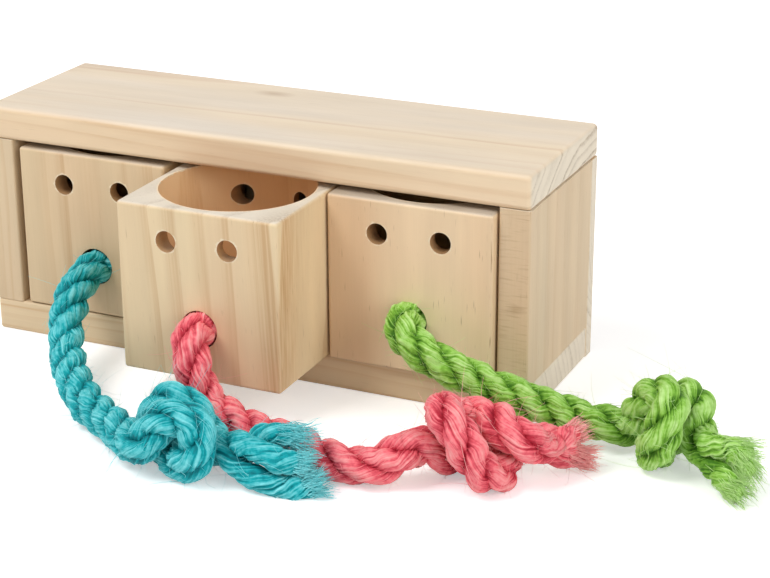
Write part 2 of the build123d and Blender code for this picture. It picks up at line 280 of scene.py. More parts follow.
# Dowels: turned beech pins, glued into the ends of the side panels and into both boards.
# They are hidden once the carcass is glued up, and keep a plain turned finish with fine, faint rings.
beech = pine("turned_beech", upright, pith=(0.3, 0.2, 0), ring_width=1.6,
             early="#D8B48C", late="#C39A70", figure=0.3, streaks=0.4)
dress("top_dowels", beech)
dress("bottom_dowels", beech)

# Brads: bright drawn steel nails with flat heads, driven flush into the back panel.
# The heads carry the fine scratches of the hammer, in bright and dull patches.
scratch_size = 0.6 * millimetre
brad_steel, brad_shader = new_material("drawn_steel")
brad_coords = node(brad_steel, "ShaderNodeTexCoord", {})
scratches = node(brad_steel, "ShaderNodeTexNoise", {
    "Vector": brad_coords.outputs["Object"], "Scale": 1 / scratch_size, "Detail": 3.0})
brad_tone = node(brad_steel, "ShaderNodeMix", {
    0: scratches.outputs[0], 6: srgb("#8F8F92"), 7: srgb("#C2C2C4")}, data_type="RGBA")
brad_gloss = node(brad_steel, "ShaderNodeMapRange", {0: scratches.outputs[0], 3: 0.25, 4: 0.5})
brad_steel.node_tree.links.new(brad_tone.outputs[2], brad_shader.inputs["Base Color"])
brad_steel.node_tree.links.new(brad_gloss.outputs[0], brad_shader.inputs["Roughness"])
brad_shader.inputs["Metallic"].default_value = 1.0
dress("back_panel_brads", brad_steel)

# Drawer blocks: cubes of pine with upright grain, bored from above as cups and drilled for scent and rope.
# The cup's wall is painted warmer and paler than the planed faces, a painted glow of light bounced about
# inside the cup, and the bit chipped the holes' rims.
cup_radius = 27.0 * millimetre
bit_mark_gap = 0.9 * millimetre
lip_height = 1.6 * millimetre
scent_hole_radius = 3.75 * millimetre
scent_hole_offset = 11.5 * millimetre
scent_hole_level = 60.25 * millimetre
chip_size = 1.6 * millimetre
chip_reach = 2.4 * millimetre


def bore(material, name):
    """Finish a block's bored places: a cup with the bit's marks and a painted warm glow of bounced light,
    pale broken chips around the scent holes and along the cup's lip, and brown walls in the holes, partly
    rough wood and partly painted shade."""
    low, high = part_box(name)
    cup_axis = ((low.x + high.x) / 2, (low.y + high.y) / 2, 0.0)
    coords = material.node_tree.nodes["coords"]
    from_axis = node(material, "ShaderNodeVectorMath", {
        0: coords.outputs["Object"], 1: cup_axis}, operation="SUBTRACT")
    axes = node(material, "ShaderNodeSeparateXYZ", {0: from_axis.outputs[0]})
    flat = node(material, "ShaderNodeVectorMath", {
        0: from_axis.outputs[0], 1: (1.0, 1.0, 0.0)}, operation="MULTIPLY")
    out = node(material, "ShaderNodeVectorMath", {0: flat.outputs[0]}, operation="LENGTH")
    # The cup's wall gets a painted warm glow of light bounced about inside it
    inside = node(material, "ShaderNodeMapRange", {
        0: out.outputs["Value"], 1: cup_radius + 0.6 * millimetre, 2: cup_radius + 0.1 * millimetre})
    cup_bounce_light = node(material, "ShaderNodeMath", {0: inside.outputs[0], 1: 0.6}, operation="MULTIPLY")
    stain(material, cup_bounce_light, "#F8CF98")
    feed = node(material, "ShaderNodeMath", {
        0: axes.outputs["Z"], 1: 2 * pi / bit_mark_gap}, operation="MULTIPLY")
    wave = node(material, "ShaderNodeMath", {0: feed.outputs[0]}, operation="SINE")
    bit_marks = node(material, "ShaderNodeMath", {
        0: wave.outputs[0], 1: inside.outputs[0]}, operation="MULTIPLY")
    relief = material.node_tree.nodes["relief"].inputs["Height"]
    marked = node(material, "ShaderNodeMath", {
        0: bit_marks.outputs[0], 1: 0.12, 2: relief.links[0].from_socket}, operation="MULTIPLY_ADD")
    material.node_tree.links.new(marked.outputs[0], relief)
    # Chips lie around the scent holes, on the faces that look to the front or the back
    either_side = node(material, "ShaderNodeMath", {0: axes.outputs["X"]}, operation="ABSOLUTE")
    beside = node(material, "ShaderNodeCombineXYZ", {"X": either_side.outputs[0], "Z": axes.outputs["Z"]})
    from_hole = node(material, "ShaderNodeVectorMath", {
        0: beside.outputs[0], 1: (scent_hole_offset, 0.0, scent_hole_level)}, operation="SUBTRACT")
    hole_out = node(material, "ShaderNodeVectorMath", {0: from_hole.outputs[0]}, operation="LENGTH")
    torn = node(material, "ShaderNodeTexNoise", {
        "Vector": coords.outputs["Object"], "Scale": 1 / chip_size, "Detail": 2.0})
    ragged = node(material, "ShaderNodeMath", {
        0: torn.outputs[0], 1: -chip_reach, 2: hole_out.outputs["Value"]}, operation="MULTIPLY_ADD")
    rim = node(material, "ShaderNodeMapRange", {
        0: ragged.outputs[0], 1: scent_hole_radius - 0.7 * millimetre,
        2: scent_hole_radius - 1.1 * millimetre, 3: 0.0, 4: 0.7})
    normal = node(material, "ShaderNodeSeparateXYZ", {0: coords.outputs["Normal"]})
    flat_on = node(material, "ShaderNodeMath", {0: normal.outputs["Y"]}, operation="ABSOLUTE")
    on_face = node(material, "ShaderNodeMapRange", {0: flat_on.outputs[0], 1: 0.5, 2: 0.8})
    rim_chips = node(material, "ShaderNodeMath", {
        0: rim.outputs[0], 1: on_face.outputs[0]}, operation="MULTIPLY")
    # More chips lie along the cup's lip
    lip = node(material, "ShaderNodeMapRange", {
        0: axes.outputs["Z"], 1: high.z - lip_height, 2: high.z - 0.2 * millimetre})
    torn_lip = node(material, "ShaderNodeMath", {0: torn.outputs[0], 1: lip.outputs[0]}, operation="MULTIPLY")
    chipped_lip = node(material, "ShaderNodeMapRange", {0: torn_lip.outputs[0], 1: 0.42, 2: 0.5})
    lip_chips = node(material, "ShaderNodeMath", {
        0: chipped_lip.outputs[0], 1: inside.outputs[0]}, operation="MULTIPLY")
    chips = node(material, "ShaderNodeMath", {
        0: rim_chips.outputs[0], 1: lip_chips.outputs[0]}, operation="MAXIMUM")
    stain(material, chips, "#EADBBF")
    # The holes' walls are brown, partly rough drilled wood and partly painted shade inside the holes
    hole_wall_shade = node(material, "ShaderNodeMapRange", {
        0: hole_out.outputs["Value"], 1: scent_hole_radius + 0.2 * millimetre,
        2: scent_hole_radius + 0.1 * millimetre, 3: 0.0, 4: 0.85})
    rough_and_shaded_wall = node(material, "ShaderNodeMath", {
        0: hole_wall_shade.outputs[0], 1: on_face.outputs[0]}, operation="SUBTRACT", use_clamp=True)
    stain(material, rough_and_shaded_wall, "#AC8050")


# The left and right blocks' end grain is painted darker, a painted shade on their tops under the top board.
drawers = {
    "left_drawer": {
        "grain": (0, -2.0, 0), "pith": (-0.25, 0.05, 0), "ring_width": 10.5,
        "early": "#D3BA95", "late": "#B88F60", "figure": 0.6, "streaks": 0.1, "end_grain_and_shade": "#A8947A",
    },
    "middle_drawer": {
        "grain": (0, -3.2, 0), "pith": (-0.1965, 0.041, 0), "ring_width": 10.2,
        "early": "#E1CAA3", "late": "#B88C5A", "figure": 0.7, "streaks": 0.3,
    },
    # The right block is browner towards its left edge, a painted shadow of the middle block beside it.
    "right_drawer": {
        "grain": (0, -0.6, 0), "pith": (0.05, 0.3, 0), "ring_width": 9.0, "painted_shade_span": (0.034, 0.06),
        "early": "#EAD2AE", "late": "#CFA878", "figure": 0.3, "streaks": 0.55, "end_grain_and_shade": "#A8947A",
    },
}
for name, looks in drawers.items():
    block_pine = pine(f"pine_{name}", upward_sheen=0.3, **looks)
    bore(block_pine, name)
    dress(name, block_pine)

# Ropes: three-strand sisal, 12 mm thick, dyed and laid right-handed. Each starts in a stopper knot in its
# cup, leaves through the drawer's front, lies on the floor to an overhand knot, and ends in frayed strands.
# The strands are laid along one line from end to end, so that the lay runs on through the knots.
rope_radius = 6.0 * millimetre
strand_radius = 3.3 * millimetre
strand_offset = 3.05 * millimetre
lay_length = 34.0 * millimetre
yarns = 7
yarn_twist = -440.0  # radians for each metre of strand
strand_sides = 49
ring_gap = 0.65 * millimetre
rope_level = 30.6 * millimetre
cup_wall = 3.0 * millimetre
cup_floor = 22.25 * millimetre


def smooth_line(name, controls):
    """Points along a rope's line: a smooth NURBS spline with the route's points as its control points."""
    curve = bpy.data.curves.new(name, "CURVE")
    curve.dimensions = "3D"
    spline = curve.splines.new("NURBS")
    spline.points.add(len(controls) - 1)
    for point, place in zip(spline.points, controls):
        point.co = (*place, 1.0)
    spline.order_u = 3
    spline.use_endpoint_u = True
    spline.resolution_u = 24
    line = bpy.data.objects.new(name, curve)
    mesh = bpy.data.meshes.new_from_object(line)
    points = np.array([vertex.co for vertex in mesh.vertices])
    bpy.data.meshes.remove(mesh)
    bpy.data.objects.remove(line)
    bpy.data.curves.remove(curve)
    return points


def reaches(points):
    """The distance along a line at each of its points."""
    return np.concatenate([[0.0], np.cumsum(np.linalg.norm(np.diff(points, axis=0), axis=1))])


def spaced(points, count):
    """The same line with a number of evenly spaced points."""
    reach = reaches(points)
    places = np.linspace(0.0, reach[-1], count)
    return np.stack([np.interp(places, reach, points[:, axis]) for axis in range(3)], axis=1)


def unit(vectors):
    """Vectors of length one."""
    return vectors / np.maximum(np.linalg.norm(vectors, axis=-1, keepdims=True), 1e-12)


def loose_overhand(first, last, turn, hand):
    """The line of a loose overhand knot between two points: the polynomial knot, drawn in at its two ends."""
    loop_height = 5.5 * millimetre
    loop_width = 6.5 * millimetre
    time = np.linspace(-2.1, 2.1, 400)
    outer = (np.abs(time) / time[-1]) ** 8
    share = (time ** 5 - 10 * time) / (time[-1] ** 5 - 10 * time[-1])
    rise = time ** 4 - 4 * time ** 2 + 1.6
    rise = (rise - rise[-1] * outer) * loop_height
    sway = hand * (time ** 3 - 3 * time)
    sway = (sway - sway[-1] * np.sign(time) * outer) * loop_width
    axis = unit(last - first)
    up = unit(np.array([0.0, 0.0, 1.0]) - axis[2] * axis)
    loop_up = cos(turn) * up + sin(turn) * np.cross(axis, up)
    loop_side = np.cross(axis, loop_up)
    between = first + np.outer((share + 1) / 2, last - first)
    return between + np.outer(rise, loop_up) + np.outer(sway, loop_side)


def overhand(first, first_run, last, last_run, length, turn, hand, floor, squeeze, corner=None):
    """Tie an overhand knot between two points of a rope, and draw it tight until it holds the given length.
    Turns that touch push each other apart as it tightens, and the floor holds them up.
    The knot stays to the right of a corner or in front of it, where a drawer comes out beside it."""
    beads, rounds = 64, 400
    line = spaced(loose_overhand(first, last, turn, hand), beads)
    loose_gap = reaches(line)[-1] / (beads - 1)
    tight_gap = length / (beads - 1)
    thickness = 2 * rope_radius * squeeze
    bend = 1.2 * rope_radius * squeeze
    least_height = floor + 0.96 * rope_radius
    corner_room = 1.15 * rope_radius
    touching_from = 4.0 * millimetre
    order = np.arange(beads)
    for round_number in range(rounds):
        gap = loose_gap + (tight_gap - loose_gap) * min(1.0, round_number / (0.6 * rounds))
        # Beads keep their gap along the rope
        for _ in range(6):
            for start in (0, 1):
                pairs = (beads - start) // 2
                head = line[start:start + 2 * pairs:2]
                tail = line[start + 1:start + 1 + 2 * pairs:2]
                apart = tail - head
                size = np.linalg.norm(apart, axis=1, keepdims=True)
                move = 0.5 * (size - gap) * apart / np.maximum(size, 1e-9)
                head += move
                tail -= move
            line[:2] = first + np.outer([0, 1], unit(first_run) * gap)
            line[-2:] = last - np.outer([1, 0], unit(last_run) * gap)
        line[1:-1] += 0.15 * (0.5 * (line[:-2] + line[2:]) - line[1:-1])
        # Turns lie a rope's thickness apart, and nearer only where the rope bends round on itself
        run = np.abs(order[:, None] - order[None, :]) * gap
        chord = 2 * bend * np.sin(np.minimum(run / (2 * bend), pi / 2))
        least = np.where(run > touching_from, np.minimum(chord, thickness), 0.0)
        for _ in range(2):
            apart = line[:, None, :] - line[None, :, :]
            size = np.linalg.norm(apart, axis=2)
            push = np.where(size < least, 0.3 * (least - size) / np.maximum(size, 1e-9), 0.0)
            line += (push[:, :, None] * apart).sum(axis=1)
        if round_number > 0.3 * rounds:
            line[:, 2] = np.maximum(line[:, 2], least_height)
        if corner is not None:
            beyond = np.maximum((line[:, :2] - corner) * (1, -1), 1e-6)
            size = np.linalg.norm(beyond, axis=1, keepdims=True)
            line[:, :2] += beyond / size * np.maximum(corner_room - size, 0.0) * (1, -1)
    line[:2] = first + np.outer([0, 1], unit(first_run) * tight_gap)
    line[-2:] = last - np.outer([1, 0], unit(last_run) * tight_gap)
    for _ in range(2):
        line[1:-1] += 0.25 * (0.5 * (line[:-2] + line[2:]) - line[1:-1])
    return line


def carried_frames(line):
    """Directions along a line and across it, carried from point to point without twisting."""
    along = unit(np.gradient(line, axis=0))
    across = np.zeros_like(along)
    across[0] = unit(np.cross(along[0], (0.3, 0.2, 1.0)))
    for place in range(1, len(line)):
        across[place] = unit(across[place - 1] - along[place] * np.dot(along[place], across[place - 1]))
    return along, across, np.cross(along, across)


def ripple(reach, rng, size):
    """A gentle unevenness along a strand, as a sum of a few waves of random phase."""
    waves = [np.sin(2 * pi * reach / (wave * millimetre) + rng.uniform(0, 2 * pi)) for wave in (5, 11, 23)]
    return size * sum(waves) / 3


def fibre_ridges(count, rng):
    """Single fibres on a strand: every column of points rises and sinks anew about every 4 mm."""
    turns = rng.normal(size=(int(count * ring_gap / (4 * millimetre)) + 2, strand_sides))
    rows = np.linspace(0, len(turns) - 1.001, count)
    below = rows.astype(int)
    part = (rows - below)[:, None]
    return (1 - part) * turns[below] + part * turns[below + 1]


def strand_rings(line, rng, tail_from, tail_ends):
    """The three laid strands of a rope, as rings of points, with the place of each point on its yarns and its
    painted shade and highlight.
    Past tail_from the strands slowly leave the lay, swell, and run to their own ends."""
    closing_length = 7.0 * millimetre
    lay_lost, twist_lost, swelling = 0.4, 0.25, 0.25
    lay_waver, offset_waver, thickness_waver = 0.15, 0.1, 0.12
    _, across, over = carried_frames(line)
    reach = reaches(line)
    loosened = np.clip((reach - reach[tail_from]) / (reach[-1] - reach[tail_from]), 0, 1)
    spread = loosened ** 2 * (3 - 2 * loosened)
    laid = np.cumsum(np.gradient(reach) * (1 - lay_lost * loosened))
    spun = np.cumsum(np.gradient(reach) * (1 - twist_lost * loosened))
    closing = 0.1 + 0.9 * np.clip((reach[-1] - reach) / closing_length, 0, 1) ** 0.5
    angles = np.linspace(0, 2 * pi, strand_sides, endpoint=False)
    # Round a strand every yarn shows as a soft lobe
    lobes = 0.96 + 0.06 * np.abs(np.sin(yarns / 2 * angles)) ** 0.7
    strands = []
    for number, tail_end in enumerate(tail_ends):
        lay = 2 * pi * laid / lay_length + 2 * pi * number / 3 + ripple(reach, rng, lay_waver)
        outward = np.cos(lay)[:, None] * across + np.sin(lay)[:, None] * over
        offset = strand_offset * (1 + ripple(reach, rng, offset_waver))
        centre = line + outward * offset[:, None]
        centre = centre + spread[:, None] * (np.array(tail_end) - centre[-1])
        strand_along = unit(np.gradient(centre, axis=0))
        first = unit(outward - strand_along * (outward * strand_along).sum(axis=1, keepdims=True))
        second = np.cross(strand_along, first)
        evenness = 1 + ripple(reach, rng, thickness_waver)
        thick = strand_radius * evenness * (1 + swelling * loosened) * closing
        yarn_size = (1 + 0.04 * rng.normal(size=yarns))[(angles / (2 * pi) * yarns).astype(int)]
        ridges = fibre_ridges(len(line), rng) * (1 + 0.4 * loosened[:, None])
        twist = angles[None, :] + yarn_twist * spun[:, None]
        size = thick[:, None] * (lobes * yarn_size)[None, :] * (1 + 0.055 * ridges)
        ring_out = (np.cos(twist)[:, :, None] * first[:, None, :]
                    + np.sin(twist)[:, :, None] * second[:, None, :])
        rings = centre[:, None, :] + size[:, :, None] * ring_out
        rings[:, :, 2] = np.maximum(rings[:, :, 2], 0.0)
        place = np.stack([
            np.broadcast_to(strand_radius * np.cos(angles), twist.shape),
            np.broadcast_to(strand_radius * np.sin(angles), twist.shape),
            np.broadcast_to(reach[:, None] + number, twist.shape),
        ], axis=2)
        # Painted shade and highlight for the colour: paler on each strand's outer crest, darker where it
        # turns into the rope and in the valleys between yarns and raised fibres, and paler along the frayed
        # tail.
        painted_crest_light = (np.cos(twist) - 0.45) * np.clip(1 - 1.6 * loosened[:, None], 0, 1)
        height = 0.55 + 0.2 * ridges + 3 * (lobes - 1.0)[None, :] + 0.3 * loosened[:, None] + 0.65 * painted_crest_light
        strands.append({
            "rings": rings, "place": place, "height": height, "centre": centre, "along": strand_along,
            "first": first, "second": second, "thick": thick,
        })
    return strands


def mesh_piece(name, points, faces, material, attributes):
    """A smooth mesh with one material, and with vectors or numbers kept at its points."""
    mesh = bpy.data.meshes.new(name)
    mesh.from_pydata(points.tolist(), [], faces)
    for attribute_name, values in attributes.items():
        kind, field = ("FLOAT_VECTOR", "vector") if values.ndim == 2 else ("FLOAT", "value")
        attribute = mesh.attributes.new(attribute_name, kind, "POINT")
        attribute.data.foreach_set(field, values.astype(np.float32).ravel())
    mesh.shade_smooth()
    mesh.materials.append(material)
    piece = bpy.data.objects.new(name, mesh)
    bpy.context.scene.collection.objects.link(piece)
    return piece


def tube_faces(base, rings, sides):
    """The faces of a closed tube whose points lie ring after ring from a first index on."""
    faces = []
    for ring in range(rings - 1):
        low, high = base + ring * sides, base + (ring + 1) * sides
        for corner in range(sides):
            after = (corner + 1) % sides
            faces.append((low + corner, low + after, high + after, high + corner))
    faces.append(tuple(base + corner for corner in reversed(range(sides))))
    faces.append(tuple(base + (rings - 1) * sides + corner for corner in range(sides)))
    return faces


def rope_piece(name, strands, start, stop, material):
    """The stretch of a rope's strands between two rings, each strand closed at both ends."""
    count = stop - start
    faces = []
    for number in range(len(strands)):
        faces += tube_faces(number * count * strand_sides, count, strand_sides)
    points = np.concatenate([strand["rings"][start:stop].reshape(-1, 3) for strand in strands])
    places = np.concatenate([strand["place"][start:stop].reshape(-1, 3) for strand in strands])
    shades_and_highlights = np.concatenate([strand["height"][start:stop].ravel() for strand in strands])
    return mesh_piece(name, points, faces, material, {"yarn_place": places, "yarn_shade_and_highlight": shades_and_highlights})


def fibre_piece(name, paths, thick, tones, material):
    """Loose fibres: thin three-sided hairs that taper towards their tips, each along its own path."""
    sides = 3
    count, length = paths.shape[:2]
    along = unit(np.gradient(paths, axis=1))
    across = unit(np.cross(along, np.array([0.37, 0.59, 0.72])))
    over = np.cross(along, across)
    taper = thick[:, None] * np.linspace(1.0, 0.3, length)[None, :]
    angles = 2 * pi * np.arange(sides) / sides
    rings = (paths[:, :, None, :] + taper[:, :, None, None]
             * (np.cos(angles)[None, None, :, None] * across[:, :, None, :]
                + np.sin(angles)[None, None, :, None] * over[:, :, None, :]))
    faces = []
    for hair in range(count):
        faces += tube_faces(hair * length * sides, length, sides)
    point_tones = np.repeat(tones, length * sides)
    return mesh_piece(name, rings.reshape(-1, 3), faces, material, {"fibre_tone": point_tones})


def sisal(name, dark, plain, bright):
    """Dyed sisal: silky leaf fibres that run along the yarns, with painted shade where they lie deep, painted
    highlights on the strands' crests and in short glints, and pale streaks, partly where the dye didn't take
    and partly painted highlights of glossy fibres. The fibres are drawn 0.4 mm wide so that they show."""
    fibre_size = (1 / (0.4 * millimetre), 1 / (0.4 * millimetre), 1 / (3 * millimetre))
    dye_size = (1 / (2.4 * millimetre), 1 / (2.4 * millimetre), 1 / (16 * millimetre))
    painted_glint_size = 1.8 * millimetre
    material, shader = new_material(name)
    place = node(material, "ShaderNodeAttribute", {}, attribute_name="yarn_place")
    shade_and_highlight = node(material, "ShaderNodeAttribute", {}, attribute_name="yarn_shade_and_highlight")
    fine = node(material, "ShaderNodeVectorMath", {
        0: place.outputs["Vector"], 1: fibre_size}, operation="MULTIPLY")
    fibres = node(material, "ShaderNodeTexNoise", {
        "Vector": fine.outputs[0], "Scale": 1.0, "Detail": 3.0, "Roughness": 0.65, "Distortion": 0.4})
    broad = node(material, "ShaderNodeVectorMath", {
        0: place.outputs["Vector"], 1: dye_size}, operation="MULTIPLY")
    dye = node(material, "ShaderNodeTexNoise", {"Vector": broad.outputs[0], "Scale": 1.0, "Detail": 1.0})
    coords = node(material, "ShaderNodeTexCoord", {})
    painted_glints = node(material, "ShaderNodeTexNoise", {
        "Vector": coords.outputs["Object"], "Scale": 1 / painted_glint_size, "Detail": 2.0})
    # How pale a fibre is comes from the painted shade and highlight of its place on the yarn, its own streak,
    # the dye, and painted glints
    painted_light_part = node(material, "ShaderNodeMath", {
        0: shade_and_highlight.outputs["Fac"], 1: 0.55, 2: -0.42}, operation="MULTIPLY_ADD")
    streak_part = node(material, "ShaderNodeMath", {
        0: fibres.outputs[0], 1: 0.42, 2: painted_light_part.outputs[0]}, operation="MULTIPLY_ADD")
    dye_part = node(material, "ShaderNodeMath", {
        0: dye.outputs[0], 1: 0.25, 2: streak_part.outputs[0]}, operation="MULTIPLY_ADD")
    paleness = node(material, "ShaderNodeMath", {
        0: painted_glints.outputs[0], 1: 0.45, 2: dye_part.outputs[0]}, operation="MULTIPLY_ADD")
    plain_part = node(material, "ShaderNodeMapRange", {0: paleness.outputs[0], 1: 0.25, 2: 0.55})
    dyed = node(material, "ShaderNodeMix", {
        0: plain_part.outputs[0], 6: srgb(dark), 7: srgb(plain)}, data_type="RGBA")
    pale_part = node(material, "ShaderNodeMapRange", {0: paleness.outputs[0], 1: 0.5, 2: 0.95})
    colour = node(material, "ShaderNodeMix", {
        0: pale_part.outputs[0], 6: dyed.outputs[2], 7: srgb(bright)}, data_type="RGBA")
    relief = node(material, "ShaderNodeBump", {
        "Height": fibres.outputs[0], "Strength": 0.9, "Distance": 0.35 * millimetre})
    links = material.node_tree.links
    links.new(colour.outputs[2], shader.inputs["Base Color"])
    links.new(relief.outputs[0], shader.inputs["Normal"])
    shader.inputs["Roughness"].default_value = 0.55
    shader.inputs["Specular IOR Level"].default_value = 0.18
    return material


def loose_fibre(name, plain, bright):
    """Single sisal hairs that stand off the rope, in tones from the plain dye to its palest streaks."""
    material, shader = new_material(name)
    tone = node(material, "ShaderNodeAttribute", {}, attribute_name="fibre_tone")
    colour = node(material, "ShaderNodeMix", {
        0: tone.outputs["Fac"], 6: srgb(plain), 7: srgb(bright)}, data_type="RGBA")
    material.node_tree.links.new(colour.outputs[2], shader.inputs["Base Color"])
    shader.inputs["Roughness"].default_value = 0.5
    shader.inputs["Specular IOR Level"].default_value = 0.3
    return material


hair_shares = np.linspace(0, 1, 10)
hair_floor = 0.3 * millimetre
hair_root = 0.4 * millimetre
shortest_stray = 1.5
longest_stray = 14.0
wave_length = 7.0 * millimetre
last_full_ring = -16  # before the strand closes to its end
last_straight_ring = -8


def stray_paths(strands, first, last, count, mean_length, most_rise, rng):
    """Hairs that have come loose along a rope: they leave the yarns at a low angle and curl outwards."""
    paths = []
    for _ in range(count):
        strand = strands[rng.integers(3)]
        place, corner = rng.integers(first, last), rng.integers(strand_sides)
        root = strand["rings"][place, corner]
        outward = unit(root - strand["centre"][place])
        forward = strand["along"][place] * rng.choice((-1.0, 1.0))
        sideways = unit(np.cross(forward, outward))
        length = min(shortest_stray + rng.exponential(mean_length), longest_stray) * millimetre
        rise, bend = rng.uniform(0.0, most_rise), rng.normal(0, 0.6)
        path = root - hair_root * outward + np.outer(hair_shares * length, forward)
        path += np.outer(hair_shares ** 1.5 * length * rise, outward)
        path += np.outer(hair_shares ** 2 * length * bend, sideways)
        path[:, 2] = np.maximum(path[:, 2], hair_floor)
        paths.append(path)
    return paths


def brush_paths(strands, brushes, rng):
    """The frayed end of each strand: fibres that come loose along its last stretch and wave on past it."""
    paths = []
    for strand, (count, stretch, longest, splay) in zip(strands, brushes):
        centre = strand["centre"]
        last = len(centre) - 1
        for _ in range(count):
            back = int(rng.uniform(2.0, stretch) * millimetre / ring_gap)
            angle = rng.uniform(0, 2 * pi)
            side = cos(angle) * strand["first"][-back] + sin(angle) * strand["second"][-back]
            distance = strand["thick"][last_full_ring] * np.sqrt(rng.uniform(0.0, 1.1))
            length = back * ring_gap + rng.uniform(-0.6, 1.0) * longest * millimetre
            places = last - back + hair_shares * length / ring_gap
            on_strand = np.minimum(places, last)
            rows = np.arange(last + 1)
            spine = np.stack([np.interp(on_strand, rows, centre[:, axis]) for axis in range(3)], axis=1)
            wave_size = rng.normal(0, 0.3) * millimetre
            wave = wave_size * np.sin(2 * pi * hair_shares * length / wave_length + angle)
            outward = splay * (rng.normal(0, 0.5, 3) + side * distance / strand_radius)
            path = spine + np.outer((places - on_strand) * ring_gap, strand["along"][last_straight_ring])
            path += np.outer(distance + wave, side) + np.outer(hair_shares ** 2 * length, outward)
            path[:, 2] = np.maximum(path[:, 2], hair_floor)
            paths.append(path)
    return paths


# The places of each rope are in millimetres from the foot of its drawer's front. The route leads to the knot,
# the tail leaves it, and the strands part to their own ends. A brush at a strand's end has a number of
# fibres, the millimetres that are frayed, the millimetres that they reach past the end, and a splay. A knot
# holds some millimetres of rope, turned by some degrees about it, and has a hand. Where a rope has a rest and
# a pull, in metres, all of it but the stopper knot stays still on the floor and doesn't follow its drawer.
# The knots' ends, lengths and turns come from a search that set their outlines against the photograph's,
# and the green rope's rest and pull from one for the least clipping. The other places were picked in the
# photograph, and put at a chosen height or depth with its camera.
ropes = {
    "left": {
        "name": "teal", "dark": "#00727B", "plain": "#08ACB4", "bright": "#94EEF3",
        "route": [
            (0.0, -4.5, 30.6), (0.3, -12.4, 28.2), (1.9, -20.4, 24.6), (4.6, -27.8, 19.8),
            (8.6, -34.9, 14.9), (14.5, -42.9, 11.6), (23.0, -53.1, 9.5), (35.4, -62.5, 7.1),
            (50.4, -71.5, 7.6), (66.0, -85.0, 9.1),
        ],
        "tail": [(89.0, -72.1, 7.6), (101.5, -78.5, 10.5), (112.0, -76.5, 11.5), (121.0, -74.0, 12.0)],
        "tail_ends": [(119.0, -72.0, 16.0), (123.5, -76.0, 9.8), (128.0, -77.0, 4.8)],
        "brushes": [(240, 9.0, 8.0, 0.16), (240, 5.0, 3.0, 0.16), (240, 5.0, 3.5, 0.18)],
        "knot": (108.0, 170, -1), "seed": 11,
    },
    "middle": {
        "name": "coral", "dark": "#B92D3F", "plain": "#F26A76", "bright": "#FFB8B4",
        "route": [
            (0.2, -4.5, 32.0), (1.9, -10.2, 28.4), (4.7, -12.8, 21.6), (7.9, -13.1, 14.6),
            (13.1, -13.3, 8.9), (21.0, -14.1, 6.4), (33.0, -17.0, 6.3), (46.5, -21.2, 6.3),
            (59.5, -26.1, 6.3), (70.5, -27.5, 6.6), (79.5, -25.0, 8.0), (84.6, -19.8, 12.1),
        ],
        "tail": [(121.0, -7.7, 15.7), (122.5, -0.5, 13.0), (127.0, 5.0, 10.5), (131.0, 9.5, 9.5)],
        "tail_ends": [(130.5, 12.0, 14.0), (134.5, 11.0, 5.0), (131.0, 8.0, 7.0)],
        "brushes": [(240, 7.0, 3.0, 0.14), (240, 7.0, 3.0, 0.14), (240, 7.0, 2.5, 0.14)],
        "knot": (121.8, 79, 1), "beside": "right_drawer", "seed": 23,
        "rest": (0.088, -0.085, 0.006), "pull": (0.0095, -0.085, 0.006),
    },
    "right": {
        "name": "green", "dark": "#407315", "plain": "#8AC145", "bright": "#D2F4A4",
        "route": [
            (0.2, -4.5, 32.4), (2.7, -10.8, 32.0), (7.8, -14.0, 28.6), (15.8, -15.0, 25.3),
            (26.8, -13.5, 20.8), (37.8, -11.0, 16.6), (48.8, -8.5, 13.0), (60.8, -6.8, 10.2),
            (71.8, -6.7, 9.0), (77.4, -4.3, 8.3),
        ],
        "tail": [(106.8, -12.5, 10.1), (113.0, -17.0, 11.0), (119.0, -20.5, 10.5), (123.5, -22.0, 9.0)],
        "tail_ends": [(123.5, -15.0, 12.0), (124.0, -29.0, 5.0), (125.0, -21.5, 8.0)],
        "brushes": [(240, 15.0, 4.0, 0.12), (240, 15.0, 3.0, 0.1), (240, 15.0, 3.5, 0.12)],
        "knot": (115.7, 150, -1), "seed": 37,
        "rest": (0.157, -0.054, 0.010), "pull": (0.070, -0.040, 0.010),
    },
}
travel = {joint["child"]: joint["range_m"][1] for joint in frame["joints"]}
stopper_start = np.array([3.0, 30.0, 8.0]) * millimetre
stopper_length = 86.0 * millimetre
stopper_turn = radians(60)
stopper_squeeze = 0.78
straight_out = np.array([0.0, -1.0, 0.0])
out_and_down = np.array([0.0, -1.0, -0.2])
